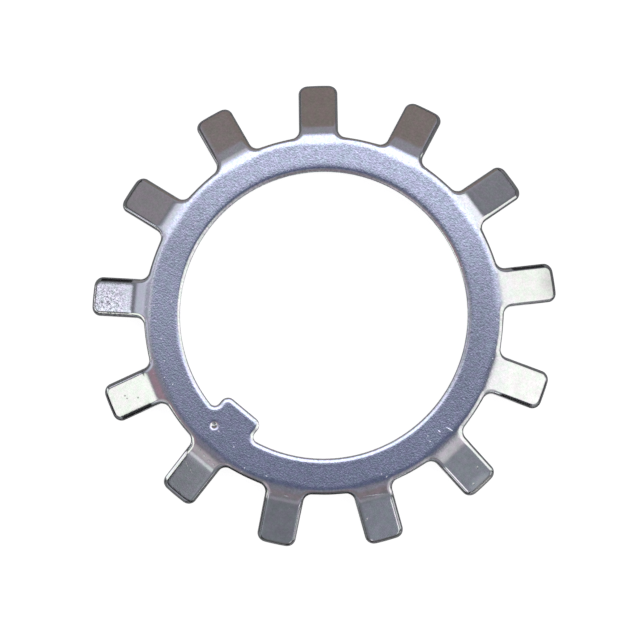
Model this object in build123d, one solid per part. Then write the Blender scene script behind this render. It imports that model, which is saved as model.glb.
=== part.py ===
# Tab lock washer, punched from one piece of steel sheet.
# A flat ring carries a crown of outer tabs, all bent down by the same angle, and one flat tongue
# that points into the bore and keys the washer to a slot in a threaded shaft.
# Millimetres. The bore's axis is Z, and the washer stands on the ends of its tabs at Z = 0,
# with the ring's bearing face on top. The tongue and the tab in line with it point along -Y.
from build123d import *
from collections import Counter
from math import cos, hypot, pi, radians, sin
import os

# Driving dimensions.
bore_diameter = 35.0
ring_diameter = 44.0
over_tabs_diameter = 57.0
sheet = 1.25
tab_count = 13
tab_width = 4.8
tab_bend = 25.0
bend_inner_radius = 3.75
tongue_width = 5.7
tongue_gauge = 32.5

# Corners as seen in plan.
tab_tip_corner = 0.8
tab_root_fillet = 1.0
tongue_tip_corner = 1.0
tongue_root_fillet = 0.7

# The punch draws the upper edge down all round, and leaves the edge underneath square.
edge_bevel = 0.25

# The small punch mark on the bearing face, beside the tongue.
mark_diameter = 1.2
mark_depth = 0.15
mark_radius_from_axis = 19.0
mark_turn_from_tongue = 4.6

# Sizes that follow from the driving dimensions.
bore_radius = bore_diameter / 2
ring_radius = ring_diameter / 2
over_tabs_radius = over_tabs_diameter / 2
pitch = 360 / tab_count
bend = radians(tab_bend)
bend_outer_radius = bend_inner_radius + sheet

# Each tab starts to bend at the chord between the middles of its two gaps,
# so the rim between the tabs stays flat.
bend_start = ring_radius * cos(radians(pitch / 2))
bend_end_out = bend_start + bend_outer_radius * sin(bend)

# The foot of the bevel on a tab's end is the furthest point from the axis.
bevel_setback = edge_bevel * sin(bend)
straight_run = (over_tabs_radius + bevel_setback - bend_end_out) / cos(bend)
flat_blank_radius = bend_start + (bend_inner_radius + sheet / 2) * bend + straight_run

# Heights above the surface that the washer stands on.
under_height = bend_inner_radius * (1 - cos(bend)) + straight_run * sin(bend)
face_height = under_height + sheet
bend_centre_height = under_height - bend_inner_radius

tongue_angle = -90.0
tongue_tip_radius = tongue_gauge - bore_radius


def at_radius(sketch, radius):
    """The corners of a sketch that lie at this distance from the axis."""
    return [v for v in sketch.vertices() if abs(hypot(v.X, v.Y) - radius) < 1e-3]


def hole_outline():
    """The bore, with the tongue left standing in it."""
    tongue = Rectangle(tongue_width, bore_radius, align=(Align.CENTER, Align.MAX))
    hole = Circle(bore_radius) - Pos(0, -tongue_tip_radius) * tongue
    tip_corner_radius = hypot(tongue_width / 2, tongue_tip_radius)
    hole = fillet(at_radius(hole, tip_corner_radius), tongue_tip_corner)
    return fillet(at_radius(hole, bore_radius), tongue_root_fillet)


def blank_outline():
    """Plan of the flat blank as far out as the bends reach, with the inside corners rounded."""
    run = Rectangle(bend_end_out, tab_width, align=(Align.MIN, Align.CENTER))
    outline = Circle(ring_radius)
    for index in range(tab_count):
        outline += Rot(Z=tongue_angle + index * pitch) * run
    outline = fillet(at_radius(outline, ring_radius), tab_root_fillet)
    return outline - hole_outline()


def bent_strip():
    """One tab's share of the sheet, flat over the ring and bent down beyond it, along +X."""
    outside = CenterArc((bend_start, bend_centre_height), bend_outer_radius, 90, -tab_bend)
    inside = CenterArc((bend_start, bend_centre_height), bend_inner_radius, 90, -tab_bend)
    side_view = make_face(
        Polyline(inside @ 0, (bore_radius, under_height), (bore_radius, face_height), outside @ 0)
        + outside
        + Line(outside @ 1, inside @ 1)
        + inside
    )
    return extrude(Plane.XZ * side_view, ring_radius * sin(radians(pitch / 2)), both=True)


def tab_end():
    """The straight part of a tab, along +X, square to its own slope at the end."""
    slope = Plane(
        origin=(bend_end_out, 0, bend_centre_height + bend_outer_radius * cos(bend)),
        x_dir=(cos(bend), 0, -sin(bend)),
        z_dir=(sin(bend), 0, cos(bend)),
    )
    run = Rectangle(straight_run, tab_width, align=(Align.MIN, Align.CENTER))
    outline = run & Pos(straight_run - flat_blank_radius) * Circle(flat_blank_radius)
    tips = outline.vertices().sort_by(Axis.X)[-2:]
    return extrude(slope * fillet(tips, tab_tip_corner), -sheet)


def upper_edges(body):
    """The edges all round the bearing face and the tops of the tabs."""
    upper_faces = [face for face in body.faces() if face.normal_at().Z > 0.5]
    uses = Counter(edge for face in upper_faces for edge in face.edges())
    return [edge for edge, count in uses.items() if count == 1]


def punch_mark():
    """A ball that dents the bearing face to the mark's depth."""
    ball_radius = (mark_diameter**2 / 4 + mark_depth**2) / (2 * mark_depth)
    place = Rot(Z=tongue_angle - mark_turn_from_tongue) * Pos(mark_radius_from_axis)
    return place * Pos(Z=face_height - mark_depth + ball_radius) * Sphere(ball_radius)


def lock_washer():
    """The whole washer as one solid."""
    sheet_body = Pos(Z=under_height) * extrude(Circle(bend_start), sheet)
    strip = bent_strip()
    for index in range(tab_count):
        sheet_body += Rot(Z=tongue_angle + index * pitch) * strip
    body = sheet_body & extrude(blank_outline(), face_height)
    end = tab_end()
    for index in range(tab_count):
        body += Rot(Z=tongue_angle + index * pitch) * end
    body = chamfer(upper_edges(body), edge_bevel)
    return body - punch_mark()


os.makedirs("parts", exist_ok=True)
export_step(lock_washer(), "parts/lock_washer.step")
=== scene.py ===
# %% [markdown]
# # A tab lock washer in plated steel
#
# The real washer is punched from steel sheet in one stroke. A flat ring carries thirteen outer tabs
# and one inner tongue, and a second stroke bends every tab down by the same angle. So this lesson
# works as the press does: it draws the flat blank, gives its edge the roll that a punch leaves, and
# then lets Geometry Nodes bend the tabs and repeat them round the axis. Everything is in metres, in
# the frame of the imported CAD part: the bore's axis is Z, and the tongue points along -Y.

import math

import bmesh
import bpy
import numpy as np
from mathutils import Matrix, Vector, geometry


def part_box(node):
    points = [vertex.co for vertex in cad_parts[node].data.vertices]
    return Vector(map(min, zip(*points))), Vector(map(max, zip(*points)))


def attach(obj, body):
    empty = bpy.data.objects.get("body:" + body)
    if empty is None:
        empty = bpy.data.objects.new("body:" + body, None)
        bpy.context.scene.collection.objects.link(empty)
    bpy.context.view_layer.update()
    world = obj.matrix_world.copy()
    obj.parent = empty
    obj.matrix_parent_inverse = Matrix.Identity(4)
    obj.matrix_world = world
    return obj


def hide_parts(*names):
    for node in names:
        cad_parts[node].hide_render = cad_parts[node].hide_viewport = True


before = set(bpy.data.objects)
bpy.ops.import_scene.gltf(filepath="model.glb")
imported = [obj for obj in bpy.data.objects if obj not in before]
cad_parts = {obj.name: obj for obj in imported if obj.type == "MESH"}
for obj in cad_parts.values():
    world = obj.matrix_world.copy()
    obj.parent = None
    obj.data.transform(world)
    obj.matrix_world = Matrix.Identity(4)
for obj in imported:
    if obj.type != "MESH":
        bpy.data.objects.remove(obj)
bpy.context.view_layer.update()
low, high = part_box("lock_washer")

# %% [markdown]
# ## The sizes
#
# The blank is drawn in millimetres, because that is how a toolmaker would write it down. The ring's
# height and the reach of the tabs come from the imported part's box, so the two models stand alike.
# The tips go a few hundredths of a millimetre further, as the finest reading of the photo gives.

# %% Sizes in millimetres
MM = 0.001
bore_radius = 17.57
ring_radius = 22.0
over_reach = 0.04
reach = -low.y / MM + over_reach
face_height = high.z / MM
sheet = 1.25
tab_count = 13
half_tab = 2.39
half_tongue = 2.85
tongue_tip = 15.0
tab_tip_corner = 1.15
tab_root_fillet = 1.0
tongue_tip_corner = 1.0
tongue_root_fillet = 0.7
bend = math.radians(24.8)
bend_start = 20.95
half_pitch = math.pi / tab_count
print(f"reach {reach:.3f} mm, face height {face_height:.3f} mm")

# %% [markdown]
# ## The edge that the punch leaves
#
# A punch draws the sheet's upper surface down before it cuts through. That leaves a shallow slope
# that fades into the face, then a small radius, and then the sheared wall. The wall recedes a
# little towards its square lower edge, where the steel tears. On the rim and in the bore the radius
# is tight, and along the tabs it is the quarter of a wide, shallow oval. A Bevel modifier could
# round the edges, but it knows nothing of the slope, and that slope carries most of the light along
# them. So the profile is a list of points, each with its distance in from the cut edge and its drop
# below the face.


# %% Profiles of the rolled edge
class RolledEdge:
    """Height of the sheet beside a cut edge: a slope that fades inwards, then a radius.

    reach is how far in the slope goes, slope its angle where the radius starts, and fade how fast
    it fades. wide and deep are the radius across and down, and recess is how far the wall draws
    back.
    """

    def __init__(self, reach, slope, fade, wide, deep, recess):
        self.reach, self.fade, self.recess = reach, fade, recess
        self.wide, self.deep = wide, deep
        self.slope = math.radians(slope)
        self.first_turn = math.atan(math.tan(self.slope) * wide / deep)
        self.radius_start = wide * (1 - math.sin(self.first_turn))
        self.run = reach - self.radius_start

    def slope_drop(self, inset):
        """Drop below the face on the slope, at a distance from the cut edge."""
        part = np.clip((self.reach - inset) / self.run, 0, 1)
        return math.tan(self.slope) * self.run * part ** (self.fade + 1) / (self.fade + 1)

    def rows(self, first=0.62, slope_rows=7, radius_rows=7):
        """(inset, drop, cut) down to the top of the wall. cut goes from 0 to 1 over the radius."""
        insets = np.linspace(first, self.radius_start, slope_rows)
        made = [(inset, self.slope_drop(inset), 0.0) for inset in insets]
        start = made[-1][1]
        for k in range(1, radius_rows + 1):
            turn = self.first_turn + (math.pi / 2 - self.first_turn) * k / radius_rows
            drop = start + self.deep * (math.cos(self.first_turn) - math.cos(turn))
            made.append((self.wide * (1 - math.sin(turn)), drop, k / radius_rows))
        return made


rim_edge = RolledEdge(reach=0.98, slope=13, fade=2.05, wide=0.30, deep=0.30, recess=0.05)
tab_edge = RolledEdge(reach=0.76, slope=3, fade=1.0, wide=0.61, deep=0.36, recess=0.20)
bore_edge = RolledEdge(reach=0.70, slope=17, fade=1.6, wide=0.17, deep=0.17, recess=0.12)
share_start, share_end = 21.4, 23.0


def tab_share(x):
    """0 on the rim and 1 on a tab, where the narrow slot of the punch leaves a rounder edge."""
    part = np.clip((x - share_start) / (share_end - share_start), 0, 1)
    return part * part * (3 - 2 * part)


for name, edge in (("rim", rim_edge), ("tab", tab_edge), ("bore", bore_edge)):
    print(f"{name} roll is {edge.rows()[-1][1]:.3f} mm deep")

# %% [markdown]
# ## How far the blank reaches before it is bent
#
# The bend's radius is chosen so that the tabs' ends land where the CAD part's do, both outwards and
# downwards. From that radius follows the length of a tab on the flat blank. The wall that recedes
# under the tip is left out of this, so the lowest edge ends a little above the paper.

# %% Lengths along the bent tab
sine, cosine = math.sin(bend), math.cos(bend)
setback = min(inset * cosine + drop * sine for inset, drop, _ in tab_edge.rows())
tip = reach + setback
under_height = face_height - sheet
rise_to_tip = math.tan(bend) * (tip - bend_start - sheet * sine)
inner_radius = (rise_to_tip - under_height) / (sine * math.tan(bend) - (1 - cosine))
middle_radius = inner_radius + sheet / 2
straight_run = (tip - bend_start - (inner_radius + sheet) * sine) / cosine
blank_radius = bend_start + middle_radius * bend + straight_run
print(f"inner bend radius {inner_radius:.3f} mm, flat blank radius {blank_radius:.3f} mm")

# %% [markdown]
# ## The outline of one thirteenth
#
# The blank repeats thirteen times, so only one sector is drawn, with its tab along +X and its sides
# in the middle of two gaps. Each point of an outline keeps the direction into the steel, so the
# rows of the rolled edge are the same outline moved in along it.


# %% Lines and arcs of an outline
point_gap = 0.25
point_turn = 0.14


def arc(centre, radius, start, end, into):
    """Points on an arc. into is 1 where the steel lies on the centre's side, and -1 outside."""
    sweep = abs(end - start)
    steps = max(2, math.ceil(max(sweep * radius / point_gap, sweep / point_turn)))
    points = []
    for k in range(steps + 1):
        a = start + (end - start) * k / steps
        way = (math.cos(a), math.sin(a))
        spot = (centre[0] + radius * way[0], centre[1] + radius * way[1])
        points.append((*spot, -into * way[0], -into * way[1]))
    return points


def line(start, end, inward):
    """Points along a straight run, with the direction into the steel."""
    steps = max(1, math.ceil(math.dist(start, end) / point_gap))
    run = [(b - a) / steps for a, b in zip(start, end)]
    return [(start[0] + run[0] * k, start[1] + run[1] * k, *inward) for k in range(steps + 1)]


def chain(*runs):
    """Joins runs end to end, without the doubled points."""
    points = list(runs[0])
    for run in runs[1:]:
        points += run[1:]
    return points


def mirrored(half):
    """The whole outline, from its half on the side of positive Y."""
    other = [(x, -y, nx, -ny) for x, y, nx, ny in half[:-1]]
    return np.array(other + half[::-1])


# %% The rim and the tab
def rim_outline():
    """Along the rim to the tab's root, out along its side, and round its tip."""
    fillet_y = half_tab + tab_root_fillet
    fillet_x = math.sqrt((ring_radius + tab_root_fillet) ** 2 - fillet_y**2)
    fillet_turn = math.atan2(fillet_y, fillet_x)
    corner_y = half_tab - tab_tip_corner
    corner_x = math.sqrt((blank_radius - tab_tip_corner) ** 2 - corner_y**2)
    corner_turn = math.atan2(corner_y, corner_x)
    return mirrored(
        chain(
            arc((0, 0), ring_radius, half_pitch, fillet_turn, 1),
            arc((fillet_x, fillet_y), tab_root_fillet, fillet_turn + math.pi, 1.5 * math.pi, -1),
            line((fillet_x, half_tab), (corner_x, half_tab), (0, -1)),
            arc((corner_x, corner_y), tab_tip_corner, math.pi / 2, corner_turn, 1),
            arc((0, 0), blank_radius, corner_turn, 0, 1),
        )
    )


# %% The bore, plain or with its tongue
def bore_outline(with_tongue):
    """The bore's wall, and the tongue that stands in it on one of the sectors."""
    if not with_tongue:
        return mirrored(arc((0, 0), bore_radius, half_pitch, 0, -1))
    fillet_y = half_tongue + tongue_root_fillet
    fillet_x = math.sqrt((bore_radius - tongue_root_fillet) ** 2 - fillet_y**2)
    fillet_turn = math.atan2(fillet_y, fillet_x)
    corner_x = tongue_tip + tongue_tip_corner
    corner_y = half_tongue - tongue_tip_corner
    return mirrored(
        chain(
            arc((0, 0), bore_radius, half_pitch, fillet_turn, -1),
            arc((fillet_x, fillet_y), tongue_root_fillet, fillet_turn, -math.pi / 2, -1),
            line((fillet_x, half_tongue), (corner_x, half_tongue), (0, -1)),
            arc((corner_x, corner_y), tongue_tip_corner, math.pi / 2, math.pi, 1),
            line((tongue_tip, corner_y), (tongue_tip, 0), (1, 0)),
        )
    )


print("outline points:", len(rim_outline()), "rim,", len(bore_outline(True)), "bore with tongue")

# %% [markdown]
# ## The flat sector as a mesh
#
# The rolled edge and the wall are strips between two neighbouring rows of the outline. The face and
# the underside are filled with small triangles, so that the steel can bend later without flats. The
# two sides of the sector stay open, because the next sector is joined on there.


# %% Filling the space between two rows
grid_spacing = 0.21
grid_start = 14.5
grid_half_width = 5.5
clear_of_extra = 0.4 * grid_spacing
clear_of_loop = 0.55 * grid_spacing
same_place = 1e-7


def inside(points, loop):
    """Which points lie inside a closed loop."""
    x, y = points[:, 0:1], points[:, 1:2]
    x0, y0 = loop[:, 0], loop[:, 1]
    x1, y1 = np.roll(x0, -1), np.roll(y0, -1)
    with np.errstate(divide="ignore", invalid="ignore"):
        crossing = ((y0 > y) != (y1 > y)) & (x < (x1 - x0) * (y - y0) / (y1 - y0) + x0)
    return crossing.sum(1) % 2 == 1


def distance(points, outline):
    """Shortest distance from each point to an open outline."""
    start, way = outline[:-1, :2], np.diff(outline[:, :2], axis=0)
    offset = points[:, None] - start[None]
    part = np.clip((offset * way).sum(2) / (way**2).sum(1), 0, 1)
    return np.linalg.norm(offset - part[..., None] * way, axis=2).min(1)


def fill(loop, extra=()):
    """Triangles inside a closed loop, with a grid of points lined up with the tab."""
    steps_aside = math.floor(grid_half_width / grid_spacing)
    across = np.arange(-steps_aside, steps_aside + 1) * grid_spacing
    along = np.arange(grid_start, blank_radius, grid_spacing)
    grid = np.array([(x, y) for x in along for y in across])
    if len(extra):
        near = np.linalg.norm(grid[:, None] - extra[None], axis=2).min(1) < clear_of_extra
        grid = np.vstack([grid[~near], extra])
    grid = grid[inside(grid, loop)]
    gap = np.linalg.norm(grid[:, None] - loop[None], axis=2).min(1)
    grid = grid[gap > clear_of_loop]
    points = [Vector(p) for p in np.vstack([loop, grid])]
    edges = [(k, (k + 1) % len(loop)) for k in range(len(loop))]
    _, _, faces, origin, _, _ = geometry.delaunay_2d_cdt(points, edges, [], 1, same_place)
    lookup = [ids[0] if ids else None for ids in origin]
    assert None not in lookup, "the fill made a point of its own"
    return grid, [[lookup[k] for k in face] for face in faces]


# %% Points, strips and triangles of a sector
roll_width = 1.1
# Each row of the wall: how far down it lies, and how far it has drawn back, as shares of the whole.
wall_rows = ((0.3, 0.2), (0.65, 0.6), (1, 1))


class Sector:
    """A mesh in the making: X along the tab, Y across it, Z up from the middle of the sheet.

    Every point carries two values. cut is 0 on the face, 1 where the wall starts and 2 at its foot.
    roll grows from 0 on the face to 1 at the cut edge.
    """

    def __init__(self):
        self.shape = bmesh.new()
        self.cut_layer = self.shape.verts.layers.float.new("cut")
        self.roll_layer = self.shape.verts.layers.float.new("roll")

    def set_points(self, spots, heights, cuts, rolls):
        """New points from places and heights in millimetres, and their two values."""
        made = []
        columns = (values + np.zeros(len(spots)) for values in (heights, cuts, rolls))
        for (x, y), height, cut, roll in zip(spots, *columns):
            vert = self.shape.verts.new((x * MM, y * MM, height * MM))
            vert[self.cut_layer], vert[self.roll_layer] = cut, roll
            made.append(vert)
        return made

    def add_edge(self, outline, edge, share, flip):
        """The rolled edge and the wall along an outline. Returns the first row and the last.

        share blends in the tab's own edge, and flip turns the faces over, as the bore needs.
        """
        rows = []
        for (inset, drop, cut), (tab_inset, tab_drop, _) in zip(edge.rows(), tab_edge.rows()):
            insets = inset + (tab_inset - inset) * share
            heights = sheet / 2 - drop - (tab_drop - drop) * share
            spots = outline[:, :2] + insets[:, None] * outline[:, 2:]
            rows.append((spots, self.set_points(spots, heights, cut, 1 - insets / roll_width)))
        recess = edge.recess + (tab_edge.recess - edge.recess) * share
        for depth, back in wall_rows:
            wall = heights + (-sheet / 2 - heights) * depth
            spots = outline[:, :2] + (recess * back)[:, None] * outline[:, 2:]
            rows.append((spots, self.set_points(spots, wall, 1 + depth, 1)))
        for (_, upper), (_, lower) in zip(rows, rows[1:]):
            for k in range(len(upper) - 1):
                quad = [upper[k], lower[k], lower[k + 1], upper[k + 1]]
                self.shape.faces.new(quad[::-1] if flip else quad)
        return rows[0], rows[-1]

    def add_triangles(self, verts, faces, upwards):
        """Triangles between points, all turned to look up or all down."""
        for face in faces:
            a, b, c = (verts[k] for k in face)
            looks_up = (b.co - a.co).cross(c.co - a.co).z > 0
            self.shape.faces.new((a, b, c) if looks_up == upwards else (c, b, a))


# %% Building one sector
side_points = 19


def flat_sector(name, with_tongue, extra=(), dent=lambda spots: 0.0):
    """One thirteenth of the blank, with extra points and a dent in its face."""
    sector = Sector()
    rims, bores = rim_outline(), bore_outline(with_tongue)
    rim_rows = sector.add_edge(rims, rim_edge, tab_share(rims[:, 0]), flip=False)
    bore_rows = sector.add_edge(bores, bore_edge, np.zeros(len(bores)), flip=True)

    def upper_points(spots):
        to_rim, to_bore = distance(spots, rims), distance(spots, bores)
        share = tab_share(spots[:, 0])
        drop = rim_edge.slope_drop(to_rim) * (1 - share) + tab_edge.slope_drop(to_rim) * share
        heights = sheet / 2 - drop - bore_edge.slope_drop(to_bore) - dent(spots)
        rolls = np.clip(1 - np.minimum(to_rim, to_bore) / roll_width, 0, 1)
        return sector.set_points(spots, heights, 0, rolls)

    def lower_points(spots):
        return sector.set_points(spots, -sheet / 2, 2, 0)

    # The face closes the first row of each edge, and the underside closes the last.
    for row, set_level, more, upwards in (
        (0, upper_points, extra, True),
        (1, lower_points, (), False),
    ):
        rim_spots, rim_verts = rim_rows[row]
        bore_spots, bore_verts = bore_rows[row]
        outer, inner = np.linalg.norm(rim_spots[0]), np.linalg.norm(bore_spots[0])
        radii = np.linspace(outer, inner, side_points + 2)[1:-1]
        side_way = np.array((math.cos(half_pitch), math.sin(half_pitch)))
        high_side = np.array([radius * side_way for radius in radii])
        low_side = (high_side * (1, -1))[::-1]
        loop = np.vstack([rim_spots, high_side, bore_spots[::-1], low_side])
        grid, faces = fill(loop, more)
        verts = rim_verts + set_level(high_side) + bore_verts[::-1]
        verts += set_level(low_side) + set_level(grid)
        sector.add_triangles(verts, faces, upwards)
    mesh = bpy.data.meshes.new(name)
    sector.shape.to_mesh(mesh)
    sector.shape.free()
    print(f"{name}: {len(mesh.vertices)} points, {len(mesh.polygons)} faces")
    return mesh


# %% [markdown]
# ## The punch mark and the two kinds of sector
#
# A small pointed punch has marked the face beside the tongue. A boolean could cut a pit there, but
# steel sinks softly round a blow, so the mark is a dip in the height of the face, with rings of
# extra points round its middle to carry it. Twelve sectors are plain, and one carries the tongue
# and the mark.

# %% The punch mark and the two sectors
mark_place = np.array((18.93, -1.60))
mark_depth = 0.20
mark_size = 0.28
mark_reach = 0.95
ring_gap = 0.05
# A ring has at least six points, and a hundred for each millimetre of its radius.
fewest_on_ring, points_to_radius = 6, 100


def punch_mark(spots):
    """Depth of the mark: a deep middle with soft shoulders."""
    far = np.linalg.norm(spots - mark_place, axis=1)
    return mark_depth * np.exp(-((far / mark_size) ** 2))


rings = [
    mark_place + far * np.array((math.cos(a), math.sin(a)))
    for far in np.arange(ring_gap, mark_reach, ring_gap)
    for a in np.arange(0, math.tau, math.tau / max(fewest_on_ring, round(far * points_to_radius)))
]
mark_points = np.array([mark_place, *rings])
plain_sector = flat_sector("plain_sector", with_tongue=False)
tongue_sector = flat_sector("tongue_sector", True, extra=mark_points, dent=punch_mark)

# %% [markdown]
# ## Nodes that bend one sector and repeat it
#
# The tree works on a flat sector. Beyond the line where the bend starts, a point turns along an arc
# until the bend's full angle is reached, and from there it runs straight down the slope. Its height
# in the sheet turns with it, which keeps the thickness. Beside the tab the bend starts further out,
# so it fades into the flat rim. Thirteen copies are then set round the axis and joined. Short
# helpers add the nodes, here and in the materials.


# %% Helpers that add nodes
def plug(socket, value):
    """Links a node's output to a socket, or writes a constant into it."""
    if isinstance(value, bpy.types.NodeSocket):
        socket.id_data.links.new(value, socket)
    else:
        socket.default_value = value


def add_node(kind, settings=(), **inputs):
    """A node in the tree that nodes names now, with its settings and its inputs."""
    made = nodes.new(kind)
    for key, value in dict(settings).items():
        setattr(made, key, value)
    for key, value in inputs.items():
        plug(made.inputs[key], value)
    return made


def add_math(operation, *values):
    """The result of one sum on outputs or constants."""
    made = add_node("ShaderNodeMath", {"operation": operation})
    for socket, value in zip(made.inputs, values):
        plug(socket, value)
    return made.outputs[0]


# %% Helpers for sums
def times(*values):
    """The product of two or more values."""
    result = values[0]
    for value in values[1:]:
        result = add_math("MULTIPLY", result, value)
    return result


def plus(*values):
    """The sum of two or more values."""
    result = values[0]
    for value in values[1:]:
        result = add_math("ADD", result, value)
    return result


def times_plus(value, factor, extra):
    """A value times a factor, plus something extra."""
    return add_math("MULTIPLY_ADD", value, factor, extra)


def eased(value, start, end, first=0.0, last=1.0):
    """A smooth step of a value: first up to start, and last from end on."""
    made = add_node("ShaderNodeMapRange", {"interpolation_type": "SMOOTHSTEP"}, Value=value)
    limits = {"From Min": start, "From Max": end, "To Min": first, "To Max": last}
    for label, limit in limits.items():
        plug(made.inputs[label], limit)
    return made.outputs[0]


# %% Helpers for places
def parts_of(place):
    """The outputs X, Y and Z of a place."""
    return add_node("ShaderNodeSeparateXYZ", Vector=place).outputs


def place_from(**parts):
    """A place from its parts, X, Y and Z."""
    return add_node("ShaderNodeCombineXYZ", **parts).outputs[0]


def dot(place, way):
    """How far a place lies in a direction."""
    made = add_node("ShaderNodeVectorMath", {"operation": "DOT_PRODUCT"})
    plug(made.inputs[0], place)
    plug(made.inputs[1], way)
    return made.outputs["Value"]


def from_axis(parts):
    """Distance from the axis, of a place that is split into its three parts."""
    return add_math("SQRT", plus(times(parts[0], parts[0]), times(parts[1], parts[1])))


# %% Helper for a node group
def node_group(name, inputs):
    """A new node group, with its given values and the socket for its result."""
    group = bpy.data.node_groups.new(name, "GeometryNodeTree")
    sockets = group.interface
    sockets.new_socket("Geometry", in_out="OUTPUT", socket_type="NodeSocketGeometry")
    for label, kind in inputs.items():
        sockets.new_socket(label, in_out="INPUT", socket_type="NodeSocket" + kind)
    given = group.nodes.new("NodeGroupInput").outputs
    return group, given, group.nodes.new("NodeGroupOutput").inputs["Geometry"]


# %% The bend
bend_inputs = ["Bend start", "Bend angle", "Middle radius", "Middle height"]
bend_inputs += ["Half tab", "Fade width", "Fade rise"]
bending, given, result = node_group(
    "bend_the_tab", {"Geometry": "Geometry", **dict.fromkeys(bend_inputs, "Float")}
)
nodes = bending.nodes
flat = parts_of(add_node("GeometryNodeInputPosition").outputs[0])
beside = add_math("SUBTRACT", add_math("ABSOLUTE", flat["Y"]), given["Half tab"])
later = eased(beside, 0.0, given["Fade width"], 0.0, given["Fade rise"])
bend_from = plus(given["Bend start"], later)
along = add_math("MAXIMUM", add_math("SUBTRACT", flat["X"], bend_from), 0.0)
turn = add_math("DIVIDE", along, given["Middle radius"])
turn = add_math("MINIMUM", turn, given["Bend angle"])
beyond = add_math("SUBTRACT", along, times(turn, given["Middle radius"]))
turn_sine, turn_cosine = add_math("SINE", turn), add_math("COSINE", turn)
upper = plus(flat["Z"], given["Middle radius"])
bent_x = add_math("MINIMUM", flat["X"], bend_from)
bent_x = times_plus(upper, turn_sine, bent_x)
bent_x = times_plus(beyond, turn_cosine, bent_x)
bent_z = add_math("SUBTRACT", given["Middle height"], given["Middle radius"])
bent_z = times_plus(upper, turn_cosine, bent_z)
bent_z = add_math("SUBTRACT", bent_z, times(beyond, turn_sine))
bent_place = place_from(X=bent_x, Y=flat["Y"], Z=bent_z)
bent = add_node("GeometryNodeSetPosition", Geometry=given["Geometry"], Position=bent_place)
plug(result, bent.outputs[0])
print("bend_the_tab has", len(nodes), "nodes")

# %% The crown of thirteen
weld_distance = 1e-6
crown, given, result = node_group(
    "crown_of_tabs",
    {
        "Geometry": "Geometry",
        "Tongue sector": "Object",
        "Tab count": "Int",
        "First tab turn": "Float",
        **dict.fromkeys(bend_inputs, "Float"),
        "Dish radius": "Float",
        "Dish depth": "Float",
        "Finish": "Material",
    },
)
nodes = crown.nodes
tongue_shape = add_node("GeometryNodeObjectInfo", Object=given["Tongue sector"])
pitch = add_math("DIVIDE", math.tau, given["Tab count"])
index = add_node("GeometryNodeInputIndex").outputs[0]
joined = add_node("GeometryNodeJoinGeometry")
plain_count = add_math("SUBTRACT", given["Tab count"], 1)
for shape, first, count in (
    (given["Geometry"], 1, plain_count),
    (tongue_shape.outputs["Geometry"], 0, 1),
):
    one_bent = add_node("GeometryNodeGroup", {"node_tree": bending}, Geometry=shape)
    for label in bend_inputs:
        plug(one_bent.inputs[label], given[label])
    spots = add_node("GeometryNodePoints", Count=count)
    turned = plus(times(plus(index, first), pitch), given["First tab turn"])
    copies = add_node(
        "GeometryNodeInstanceOnPoints",
        Points=spots.outputs[0],
        Instance=one_bent.outputs[0],
        Rotation=place_from(Z=turned),
    )
    plug(joined.inputs[0], copies.outputs[0])
real = add_node("GeometryNodeRealizeInstances", Geometry=joined.outputs[0])
welded = add_node("GeometryNodeMergeByDistance", Geometry=real.outputs[0], Distance=weld_distance)
print("crown_of_tabs has", len(nodes), "nodes so far")

# %% [markdown]
# ## The dish in the ring
#
# The press has left the ring not quite flat. On the side away from the tongue its face sinks by a
# few hundredths of a millimetre towards the bore, too little to see as a shape, but enough to turn
# the light there. Modelling it by hand would mean moving thousands of points, so the tree lowers
# each point by a rule: by the square of its distance inside the dish's radius, most on one side,
# and not at all at the height of the paper.

# %% The dish, and the end of the tree
deepest_way = math.radians(125)
here = add_node("GeometryNodeInputPosition").outputs[0]
here_parts = parts_of(here)
radius = from_axis(here_parts)
towards = dot(here, (math.cos(deepest_way), math.sin(deepest_way), 0))
side = add_math("MAXIMUM", add_math("DIVIDE", towards, radius), 0.0)
near_bore = add_math("MAXIMUM", add_math("SUBTRACT", given["Dish radius"], radius), 0.0)
dip = times(near_bore, near_bore, side, here_parts["Z"], given["Dish depth"])
lowered = place_from(Z=times(dip, -1.0))
dished = add_node("GeometryNodeSetPosition", Geometry=welded.outputs[0], Offset=lowered)
smooth = add_node("GeometryNodeSetShadeSmooth", Geometry=dished.outputs[0])
finished = add_node("GeometryNodeSetMaterial", Geometry=smooth.outputs[0])
plug(finished.inputs["Material"], given["Finish"])
plug(result, finished.outputs[0])
print("crown_of_tabs has", len(nodes), "nodes")

# %% [markdown]
# ## From tree to mesh
#
# The tree's inputs are set by their identifiers before Blender first evaluates it. The result then
# becomes a plain mesh at the origin, and the sectors that it was made from are removed. Corners
# sharper than 40 degrees stay crisp, so the torn lower edge reads as an edge. An edge that is not
# shared by two faces would be a gap between two sectors, so those are counted.

# %% Running the tree
sharp_corner = math.radians(40)
fade_width = 2.2
fade_rise = 0.8
dish_radius = 18.8
# The dip is this times the height times the square of the distance inside the radius, in metres.
dish_depth = 4800.0
steel = bpy.data.materials.new("plated_steel")
steel.use_nodes = True


def in_scene(name, data):
    """A new object in the scene, at the origin, for a mesh or a camera."""
    made = bpy.data.objects.new(name, data)
    bpy.context.scene.collection.objects.link(made)
    return made


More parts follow.
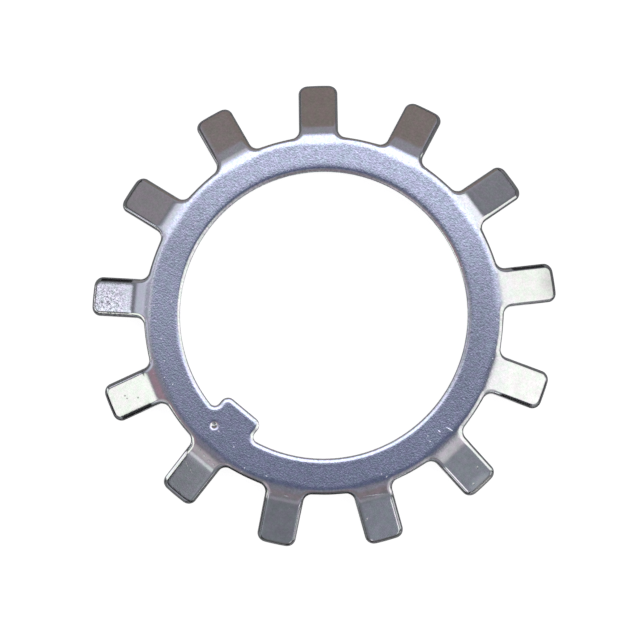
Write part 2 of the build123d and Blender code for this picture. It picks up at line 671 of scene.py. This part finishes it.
tongue_holder = in_scene("tongue_sector", tongue_sector)
sector_holder = in_scene("plain_sector", plain_sector)
modifier = sector_holder.modifiers.new("crown", "NODES")
modifier.node_group = crown
for label, value in {
    "Tongue sector": tongue_holder,
    "Tab count": tab_count,
    "First tab turn": -math.pi / 2,
    "Bend start": bend_start * MM,
    "Bend angle": bend,
    "Middle radius": middle_radius * MM,
    "Middle height": (face_height - sheet / 2) * MM,
    "Half tab": half_tab * MM,
    "Fade width": fade_width * MM,
    "Fade rise": fade_rise * MM,
    "Dish radius": dish_radius * MM,
    "Dish depth": dish_depth,
    "Finish": steel,
}.items():
    modifier[given[label].identifier] = value
bpy.context.view_layer.update()
evaluated = sector_holder.evaluated_get(bpy.context.evaluated_depsgraph_get())
washer = in_scene("washer", bpy.data.meshes.new_from_object(evaluated))
washer.data.name = "washer"
washer.data.set_sharp_from_angle(angle=sharp_corner)
for holder in (sector_holder, tongue_holder):
    bpy.data.objects.remove(holder)
check = bmesh.new()
check.from_mesh(washer.data)
open_edges = sum(1 for edge in check.edges if not edge.is_manifold)
volume = check.calc_volume(signed=True) / MM**3
print(f"washer: {len(check.verts)} points, {len(check.faces)} faces, volume {volume:.1f} mm3")
print("open edges:", open_edges)
check.free()

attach(washer, "root")
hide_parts("lock_washer")

# %% [markdown]
# ## The camera
#
# The washer lies flat and is seen from almost straight above, so that its ring stays a circle. Only
# a thin line of wall shows, along one side of every edge. A long lens from 0.8 m gives that view,
# leaning by a few degrees. Directions in the picture are counted from its right, counterclockwise.
# The picture is turned against the part's frame, and one helper holds that turn.

# %% Camera
picture_turn = 39.80
camera_tilt = math.radians(4.8)
leans_to = -70
camera_distance = 0.8
aim_left, aim_down = 0.44, 0.63


def photo_way(degrees):
    """A direction in the picture, as a direction in the part's frame."""
    turn = math.radians(degrees + picture_turn)
    return Vector((math.cos(turn), math.sin(turn), 0))


aim = Vector((0, 0, high.z)) - aim_left * MM * photo_way(0) - aim_down * MM * photo_way(90)
back = photo_way(leans_to) * math.sin(camera_tilt) + Vector((0, 0, math.cos(camera_tilt)))
back.normalize()
across = (photo_way(0) - back * photo_way(0).dot(back)).normalized()
camera = in_scene("camera", bpy.data.cameras.new("camera"))
camera.data.sensor_width = 36
camera.data.lens = 368
camera.data.clip_start = 0.01
rotation = Matrix((across, back.cross(across), back)).transposed()
camera.matrix_world = Matrix.Translation(aim + back * camera_distance) @ rotation.to_4x4()
bpy.context.scene.camera = camera
print("camera in mm:", [round(v * 1000, 1) for v in camera.matrix_world.translation])

# %% [markdown]
# ## Plated steel
#
# The washer has a thin bright plating of zinc. It mirrors the room, faintly blurred, and its fine
# crystals break the mirror image into grain. A picture of such a surface could be wrapped round the
# part, but noise in the part's own coordinates has no seams and any size. So the finish is a metal
# whose colour is a slow drift between two cool greys, times a grain.

# %% The metal, and a mix of colours
nodes = steel.node_tree.nodes
shader = nodes["Principled BSDF"]
shader.inputs["Metallic"].default_value = 1


def blend(share, first, second):
    """A mix of two colours, which a Mix node keeps in its sockets 6 and 7."""
    made = add_node("ShaderNodeMix", {"data_type": "RGBA"})
    for number, value in ((0, share), (6, first), (7, second)):
        plug(made.inputs[number], value)
    return made.outputs[2]


print("material:", steel.name)

# %% [markdown]
# ## Masks for the marks of handling
#
# Washers knock together in their box. That leaves short bright scratches, a few dark specks and one
# worn tab. Each could be a line painted on an image. A mask is simpler: a soft oval in the part's
# own coordinates, 1 in its middle and 0 outside, that the colour, roughness and relief share. The
# attributes cut and roll, which the sectors carry, say how far round an edge a place lies. Every
# mark has its place by its direction in the picture and its distance from the axis in millimetres.

# %% Masks for marks
mask_height = 3
mask_thickness = 4
spot = add_node("ShaderNodeTexCoord").outputs["Object"]
cut = add_node("ShaderNodeAttribute", {"attribute_name": "cut"}).outputs["Fac"]
roll = add_node("ShaderNodeAttribute", {"attribute_name": "roll"}).outputs["Fac"]


def oval(space, place, turn, size, outer, inner):
    """A soft oval mask: 0 beyond outer and 1 within inner, both shares of its half sizes."""
    settings = {"vector_type": "TEXTURE"}
    held = add_node("ShaderNodeMapping", settings, Vector=space, Location=place, Scale=size)
    held.inputs["Rotation"].default_value = (0, 0, turn)
    far = add_node("ShaderNodeVectorMath", {"operation": "LENGTH"})
    plug(far.inputs[0], held.outputs[0])
    return eased(far.outputs["Value"], outer, inner)


def scratch(x, y, length, width, turn):
    """A soft mask, 1 in the middle of a scratch, with its place and size in millimetres."""
    place = (x * MM, y * MM, mask_height * MM)
    size = (length / 2 * MM, width / 2 * MM, mask_thickness * MM)
    return oval(spot, place, math.radians(turn), size, 1.0, 0.0)


def patch(angle, far, long, wide, side=0.0):
    """A soft mask set by its direction in the picture and its distance from the axis."""
    x, y, _ = photo_way(angle) * far + photo_way(angle + 90) * side
    return scratch(x, y, long, wide, angle + picture_turn)


def gathered(places):
    """One mask for a list of scratches, each turned against the picture's right."""
    mask = 0.0
    for angle, far, length, width, turn in places:
        x, y, _ = photo_way(angle) * far
        mask = plus(mask, scratch(x, y, length, width, turn + picture_turn))
    return mask


# Each mark is its direction, distance, length and width in millimetres, and its turn.
pits = gathered([
    (201.9, 26.28, 0.4, 0.3, 0),
    (202.8, 26.16, 0.35, 0.25, 0),
    (203.9, 24.87, 0.35, 0.35, 0),
    (198.2, 23.21, 0.35, 0.8, 20),
])
marks = gathered([
    (317.7, 20.88, 1.3, 0.22, -29),
    (314.7, 20.14, 0.5, 0.25, -45),
    (315.4, 26.37, 0.5, 0.25, 80),
    (311.7, 27.53, 0.5, 0.35, 20),
    (281.9, 25.51, 0.7, 0.25, 60),
    (286.1, 22.93, 4.2, 0.14, 7),
    (253.2, 22.65, 0.7, 0.2, -15),
    (258.5, 22.63, 0.9, 0.2, -15),
    (227.7, 22.45, 0.5, 0.3, -50),
    (229.8, 22.55, 0.8, 0.3, -50),
    (231.9, 22.67, 0.5, 0.35, -30),
    (233.9, 22.74, 0.7, 0.3, -45),
    (227.5, 24.78, 1.1, 0.14, -70),
    (229.7, 25.06, 0.8, 0.12, -60),
])
worn = gathered([(176.5, 27.58, 9.5, 7.5, 175)])
print("masks made, nodes so far:", len(nodes))

# %% [markdown]
# ## Grain, stains and flecks
#
# The plating's crystals are finer than the eye can part, and they show as grain. The grain is
# stronger on the ring than on the tabs, where the press has smoothed it, and it is calm on one
# side. Slow blotches and a few faint stains go on top, and painted shade darkens the rolled edge
# along the lower rim. Here and there a crystal stands out as a bright fleck: a Voronoi texture
# gives every cell a random number, and only the luckiest tenth of the cells show.


# %% Noise, and the contrast of the grain
def noise(scale, detail, rough=0.5):
    """A noise between 0 and 1, with its scale per metre."""
    settings = {"Scale": scale, "Detail": detail, "Roughness": rough}
    return add_node("ShaderNodeTexNoise", Vector=spot, **settings).outputs["Fac"]


# The contrast is 1 on the ring. It is less on the tabs, and each gain changes it at one place.
tab_contrast = 0.35
flecked_gain, calm_gain, worn_gain = 0.45, -0.45, 6.0
spot_radius = from_axis(parts_of(spot))
on_ring = eased(spot_radius, 22.6 * MM, 21.2 * MM, tab_contrast, 1.0)
flecked_side = eased(dot(spot, photo_way(85)), 4 * MM, 18 * MM)
calm_side = patch(196, 20, 16, 30)
contrast = times(on_ring, times_plus(flecked_side, flecked_gain, 1.0))
contrast = times(contrast, times_plus(calm_side, calm_gain, 1.0))
contrast = times_plus(worn, worn_gain, contrast)
print("contrast made, nodes so far:", len(nodes))

# %% Stains, and painted shade on the lower rim
# Each stain is its direction, distance and size, and how much paler it makes the plating.
stains = 0.0
for angle, far, long, wide, paler in (
    (352, 18.0, 12, 34, -0.28),
    (153, 19.0, 9, 18, -0.17),
    (313.1, 28.6, 3.6, 7, 1.1),
    (8.5, 28.8, 5.5, 8, -0.5),
):
    stains = times_plus(patch(angle, far, long, wide), paler, stains)
# Painted shade: the rolled edge near the rim is darkened at the bottom of the picture.
painted_edge_shade = times(
    eased(dot(spot, photo_way(260)), 18.8 * MM, 20.4 * MM),
    eased(spot_radius, 23.2 * MM, 22.2 * MM),
    eased(roll, 0.66, 0.82),
)
print("soot made, nodes so far:", len(nodes))

# %% Blotches, grain and flecks
noise_middle = 0.5
blotch_depth, lower_blotch_gain, ring_blotch_gain = 0.3, 0.5, -0.9
pit_tone, darkest_grain = -0.85, 0.1
unlucky_share = 0.9
fleck_edge, fleck_middle = 0.18, 0.06
lower_side = eased(dot(spot, photo_way(280)), 8 * MM, 20 * MM)
mottled = times_plus(lower_side, lower_blotch_gain, blotch_depth)
mottled = times(mottled, times_plus(on_ring, ring_blotch_gain, 1.0))
blotches = add_math("SUBTRACT", noise(700.0, 3.0, rough=0.65), noise_middle)
blotches = times(blotches, mottled)
crystals = add_math("SUBTRACT", noise(3600.0, 2.0, rough=0.7), noise_middle)
grain = times_plus(crystals, contrast, times_plus(pits, pit_tone, 1.0))
grain = add_math("MAXIMUM", plus(grain, blotches, stains), darkest_grain)
cells = add_node("ShaderNodeTexVoronoi", Vector=spot, Scale=1500.0)
lucky = add_node("ShaderNodeSeparateColor", Color=cells.outputs["Color"]).outputs[0]
lucky = add_math("GREATER_THAN", lucky, unlucky_share)
fleck = times(eased(cells.outputs["Distance"], fleck_edge, fleck_middle), lucky)
bare = add_math("MINIMUM", times_plus(fleck, on_ring, marks), 1.0)
print("grain made, nodes so far:", len(nodes))

# %% [markdown]
# ## Colour and roughness
#
# The plating drifts between a violet grey and a green grey. Scratches and flecks show paler, barer
# metal. The sheared wall is the torn inside of the sheet, and it is a darker, plainer grey. A low
# roughness keeps the mirror clear, and the scratches are rougher, so they catch light from every
# side.

# %% Colour
violet_grey = (0.735, 0.715, 0.78, 1)
green_grey = (0.685, 0.73, 0.74, 1)
bare_zinc = (0.93, 0.93, 0.95, 1)
sheared_steel = (0.60, 0.60, 0.63, 1)
# How far the painted shade on the lower rim darkens the colour.
edge_shade_tone = -0.65
violet_below, green_above = 0.4, 0.6
plating_end, wall_start = 0.9, 1.2


def dimmed(tone, factor):
    """A colour times a factor."""
    made = add_node("ShaderNodeVectorMath", {"operation": "SCALE"}, Scale=factor)
    plug(made.inputs[0], tone)
    return made.outputs[0]


haze = eased(noise(1300.0, 1.0), violet_below, green_above)
plate = dimmed(blend(haze, violet_grey, green_grey), grain)
sheared = eased(cut, plating_end, wall_start)
clean = blend(sheared, blend(bare, plate, bare_zinc), sheared_steel)
# The painted shade on the lower rim darkens the colour here.
plug(shader.inputs["Base Color"], dimmed(clean, times_plus(painted_edge_shade, edge_shade_tone, 1.0)))
print("colour made, nodes so far:", len(nodes))

# %% Roughness
plating_roughness = 0.10
bare_roughness = 0.50
wall_roughness = 0.15
rougher_bare = bare_roughness - plating_roughness
rougher_wall = wall_roughness - plating_roughness
rough = times_plus(bare, rougher_bare, plating_roughness)
plug(shader.inputs["Roughness"], times_plus(sheared, rougher_wall, rough))
print(f"roughness: {plating_roughness} plating, {wall_roughness} wall, {bare_roughness} scratches")

# %% [markdown]
# ## The relief that is too fine to model
#
# Under a lens the plating is pebbled like orange peel, and the rolled edges swell a little where
# the punch dragged the steel. Both are a few thousandths of a millimetre high. Everything that can
# be seen as a shape is in the mesh, so a Bump node is enough for these.

# %% Fine relief
relief = 4.5e-6
swell_share, scratch_share = 1.2, 2.5
height = times(noise(4800.0, 2.0, rough=0.6), plus(worn, on_ring))
height = times_plus(times(noise(1500.0, 1.0), roll), swell_share, height)
height = times_plus(marks, scratch_share, height)
bump = add_node("ShaderNodeBump", Height=height, Strength=1.0, Distance=relief)
plug(shader.inputs["Normal"], bump.outputs[0])
print("plated_steel has", len(nodes), "nodes")

# %% [markdown]
# ## White paper
#
# The washer lies on white paper. To the camera the paper is plain white, whatever light falls on
# it, so a Light Path node gives it a glow of its own for camera rays. What the polished edges
# mirror is another matter. Near the washer they see the paper in its shadow, and inside the bore
# and further out they see it lit. Soft patches of shade and of light under the tabs draw the dark
# and the bright lines along the edges, as a photographer's black and white cards would.

# %% Floor
floor_half_size = 3
ground = bmesh.new()
bmesh.ops.create_grid(ground, x_segments=1, y_segments=1, size=floor_half_size)
floor_mesh = bpy.data.meshes.new("floor")
ground.to_mesh(floor_mesh)
ground.free()
floor = in_scene("floor", floor_mesh)
paper = bpy.data.materials.new("white_paper")
paper.use_nodes = True
floor.data.materials.append(paper)
print("floor is", 2 * floor_half_size, "m wide")

# %% The paper that the edges mirror
open_shade = 0.15
lit_paper = 0.9
flat_middle = 2.5
nodes = paper.node_tree.nodes
nodes.remove(nodes["Principled BSDF"])
paper_parts = parts_of(add_node("ShaderNodeTexCoord").outputs["Object"])
paper_radius = from_axis(paper_parts)

# The masks read spot, so it becomes the place on the paper, raised to the masks' own height.
spot = place_from(X=paper_parts[0], Y=paper_parts[1], Z=mask_height * MM)
shade = open_shade
# Each patch is its direction and distance, its step to one side, its size, and its light.
for angle, far, side, long, wide, tone in (
    (257, 23.4, 0, 7, 26, 0.005),
    (147, 25.0, 0, 8, 22, 0.5),
    (321, 25.8, 0, 8, 9, 0.9),
    (354.6, 24.5, 0, 6, 5, 0.9),
    (285.4, 26.3, 3.8, 8, 4, 0.9),
    (257.7, 26.3, 3.8, 8, 4, 0.7),
    (230.0, 26.3, -3.8, 8, 4, 0.9),
    (8.5, 26.3, 4.4, 8, 5, 0),
    (174.7, 26.3, -4.4, 8, 5, 0),
    (202.3, 28.3, 3.2, 11, 7, 0),
    (340.8, 28.3, -3.2, 11, 7, 0),
):
    mask = times(patch(angle, far, long, wide, side), flat_middle)
    mask = add_math("MINIMUM", mask, 1.0)
    shade = times_plus(mask, add_math("SUBTRACT", tone, shade), shade)
in_bore = eased(paper_radius, 18.5 * MM, 15.5 * MM)
far_out = eased(paper_radius, 250 * MM, 600 * MM)
lit = times(add_math("MAXIMUM", in_bore, far_out), lit_paper)
mirrored_paper = add_math("MAXIMUM", shade, lit)
print("shade and light made, nodes so far:", len(nodes))

# %% The paper's glow and its own grey
paper_grey = 0.4
light_path = add_node("ShaderNodeLightPath").outputs
is_seen = light_path["Is Camera Ray"]
mirrored_ray = add_math("MAXIMUM", light_path["Is Glossy Ray"], light_path["Is Transmission Ray"])
glow = add_math("MAXIMUM", times(mirrored_ray, mirrored_paper), times(is_seen, lit_paper))
glow = add_node("ShaderNodeEmission", Color=(1, 1, 1, 1), Strength=glow)
matt = times(add_math("MAXIMUM", is_seen, mirrored_paper), paper_grey)
matt = add_node("ShaderNodeBsdfDiffuse", Color=matt)
both = add_node("ShaderNodeAddShader")
plug(both.inputs[0], glow.outputs[0])
plug(both.inputs[1], matt.outputs[0])
plug(nodes["Material Output"].inputs["Surface"], both.outputs[0])
print("white_paper has", len(nodes), "nodes")

# %% [markdown]
# ## The studio round the washer
#
# A mirror shows what stands round it, so the light on the washer is drawn as a photographer sets it
# up: a dim cool room, and large soft boxes, narrow strips and black cards hung in it. The plating
# mirrors each part of the room in one place only. The ring mirrors the middle of the ceiling, a tab
# mirrors the sky some 50 degrees from it on the tab's own side, and an edge runs through all that
# lies between there and the horizon. Area lamps could do the same, but boxes painted on the world
# are softer, cast no second shadow, and are placed by two angles.

# %% The room
# The dome is a flat map of the sky: the distance from its middle is the angle from straight above.
horizon = 90
dome_shift, dome_shift_way = 0.7, math.radians(110)
smallest_radius = 1e-5
world = bpy.data.worlds.new("studio")
bpy.context.scene.world = world
world.use_nodes = True
nodes = world.node_tree.nodes
sky = nodes["Background"]
way = add_node("ShaderNodeTexCoord").outputs["Generated"]
way = add_node("ShaderNodeMapping", {"vector_type": "TEXTURE"}, Vector=way)
way.inputs["Rotation"].default_value = (0, 0, math.radians(picture_turn))
parts = parts_of(way.outputs[0])
from_top = times(add_math("ARCCOSINE", parts[2]), 180 / math.pi)
sideways = add_math("MAXIMUM", from_axis(parts), smallest_radius)
spread = add_math("DIVIDE", from_top, sideways)
dome_x = plus(times(parts[0], spread), dome_shift * math.cos(dome_shift_way))
dome_y = plus(times(parts[1], spread), dome_shift * math.sin(dome_shift_way))
dome = place_from(X=dome_x, Y=dome_y)

# Each stop is its angle from straight above, and its colour.
ramp = add_node("ShaderNodeValToRGB", Fac=add_math("DIVIDE", from_top, horizon))
stops = ramp.color_ramp.elements
room = [
    (0, (0.12, 0.138, 0.23)),
    (4, (0.12, 0.138, 0.23)),
    (9, (0.18, 0.185, 0.23)),
    (14, (0.22, 0.215, 0.24)),
    (30, (0.22, 0.21, 0.235)),
    (50, (0.21, 0.22, 0.245)),
    (56, (0.20, 0.20, 0.21)),
    (61, (0.16, 0.16, 0.16)),
    (horizon, (0.16, 0.16, 0.16)),
]
stops[0].color = (*room[0][1], 1)
stops[1].color = (*room[-1][1], 1)
for angle, tone in room[1:-1]:
    stops.new(angle / horizon).color = (*tone, 1)
colour = ramp.outputs[0]
print("the room's ramp has", len(stops), "stops")


# %% Soft boxes, strips and cards
def soft_patch(x, y, turn, long, wide, edge, tone):
    """Lays an oval over the colour so far: middle, turn in radians, half sizes, softness, light."""
    global colour
    mask = oval(dome, (x, y, 0), turn, (long, wide, 1), 1 + edge, 1 - edge)
    colour = blend(mask, colour, (*tone, 1))


def on_dome(turn, angle):
    """A place on the dome, from its turn in the picture and its angle from straight above."""
    return angle * math.cos(math.radians(turn)), angle * math.sin(math.radians(turn))


def soft_box(turn, angle, deep, wide, edge, tone):
    """A soft light on the dome. It reaches deep along its turn and wide across it, in degrees."""
    soft_patch(*on_dome(turn, angle), math.radians(turn), deep, wide, edge, tone)


def soft_strip(start, end, wide, edge, tone):
    """A long narrow light or card between two places, each given as (turn, angle)."""
    (x0, y0), (x1, y1) = on_dome(*start), on_dome(*end)
    middle = (x0 + x1) / 2, (y0 + y1) / 2
    long = math.hypot(x1 - x0, y1 - y0) / 2
    soft_patch(*middle, math.atan2(y1 - y0, x1 - x0), long, wide, edge, tone)


# %% [markdown]
# ## Hanging the lights
#
# First come the large boxes that the tabs and the ring mirror, then strips that only the rolled
# edges see, and last the black cards that give every edge its dark line. A later one covers an
# earlier one, as it would if it hung in front.

# %% Boxes for the ring and the tabs
# Each box is its turn and angle, its reach along its turn and across it, its soft edge, its light.
# Where the bends at the bottom begin.
soft_box(274, 11, 4.5, 9, 0.7, (0.255, 0.25, 0.30))
soft_box(306, 15, 5, 5, 0.6, (0.36, 0.35, 0.40))
# The lower left tab.
soft_box(235, 48, 8, 10, 0.5, (0.285, 0.295, 0.33))
soft_box(226, 57, 17, 11, 0.35, (0.345, 0.355, 0.385))
# The tabs at the bottom.
soft_box(300, 46, 9, 22, 0.5, (0.27, 0.285, 0.325))
soft_box(316, 47, 9, 9, 0.5, (0.30, 0.315, 0.35))
# The tabs at the top.
soft_box(90, 49, 21, 50, 0.25, (0.33, 0.32, 0.35))
soft_box(140, 52, 10, 12, 0.4, (0.31, 0.285, 0.30))
soft_box(92, 60, 16, 36, 0.15, (0.255, 0.21, 0.19))
# The rim and the bends along the top.
soft_box(160, 29, 12.5, 12, 0.3, (0.64, 0.65, 0.75))
soft_box(139, 21, 11.5, 8, 0.3, (0.84, 0.85, 0.93))
soft_box(118, 31, 4, 6, 0.5, (0.60, 0.60, 0.62))
soft_box(84, 17, 10.2, 17, 0.35, (1.46, 1.54, 1.94))
soft_box(43, 25, 10, 9, 0.3, (1.24, 1.26, 1.29))
# The bright tabs on the right, their bends, and the rim between them.
soft_box(355, 42, 23, 18, 0.2, (1.33, 1.33, 1.22))
soft_box(10, 45, 20, 12, 0.2, (1.27, 1.27, 1.16))
soft_box(357, 14.5, 4.8, 6.5, 0.4, (1.0, 1.0, 1.0))
soft_box(0, 29.5, 14.5, 18, 0.18, (1.3, 1.3, 1.23))
soft_box(333, 33, 17, 5.5, 0.3, (1.3, 1.3, 1.25))
# The bright tab on the left, and the worn one.
soft_box(197, 47, 15.5, 10, 0.2, (1.31, 1.33, 1.20))
soft_box(172, 55, 7.5, 4, 0.1, (1.2, 1.2, 1.34))
# The bands over the bends, on the left and at the bottom.
soft_box(190, 21, 8, 4.5, 0.5, (0.38, 0.25, 0.29))
soft_box(157, 17, 5, 4, 0.5, (0.42, 0.42, 0.50))
soft_box(195, 11, 4, 5, 0.8, (0.24, 0.235, 0.30))
soft_box(224, 27, 8, 9, 0.5, (0.54, 0.48, 0.50))
soft_box(227, 39, 4, 8, 0.4, (0.80, 0.81, 0.82))
soft_box(272, 22, 6, 10, 0.6, (0.27, 0.22, 0.235))
soft_box(268, 33, 4, 12, 0.5, (0.38, 0.36, 0.40))
soft_box(316, 27, 9, 8, 0.6, (0.66, 0.62, 0.65))
# The ends of the tabs on the right.
soft_box(354, 70, 9, 11, 0.3, (1.0, 1.0, 1.0))
print("nodes in the world so far:", len(nodes))

# %% Strips and cards for the edges
# Each runs from one turn and angle to another, with its half width, its soft edge and its light.
soft_strip((291.5, 46.9), (309, 49.8), 1.6, 0.2, (1.4, 1.36, 1.36))
soft_strip((303, 48.5), (288.5, 51.3), 2.4, 0.15, (1.6, 1.55, 1.55))
soft_strip((289.5, 55.5), (304, 64), 2.2, 0.2, (1.0, 1.0, 1.0))
soft_strip((279, 55.5), (266, 61.5), 2.6, 0.2, (1.0, 1.0, 1.0))
soft_strip((308, 50.5), (340, 72), 3.0, 0.3, (0.75, 0.75, 0.75))
soft_strip((330, 49), (346, 54), 2.0, 0.4, (1.2, 1.2, 1.2))
soft_strip((304, 63), (320, 84), 2.5, 0.3, (0.65, 0.65, 0.65))
soft_strip((196, 58), (168, 88), 4.5, 0.3, (1.3, 1.3, 1.3))
soft_strip((173, 53.8), (196, 57.3), 2.3, 0.15, (0.14, 0.14, 0.14))
# The black cards.
dark = (0.005, 0.005, 0.005)
soft_strip((198.5, 50.3), (262, 92), 3.4, 0.06, dark)
soft_strip((332, 49.6), (276, 92), 3.0, 0.10, dark)
soft_strip((33, 55.2), (72, 92), 3.2, 0.12, dark)
soft_strip((160, 57), (118, 92), 4.0, 0.25, dark)
soft_strip((197, 64), (197, 92), 5.0, 0.25, dark)
soft_strip((346, 68), (346, 92), 5.0, 0.25, dark)
soft_strip((267, 68), (267, 92), 14.0, 0.25, dark)
soft_strip((238, 76), (238, 92), 12.0, 0.25, dark)

seen_directly = add_node("ShaderNodeLightPath").outputs["Is Camera Ray"]
plug(sky.inputs["Color"], blend(seen_directly, colour, (1, 1, 1, 1)))
bpy.context.scene.view_settings.view_transform = "Standard"
print("studio has", len(nodes), "nodes")
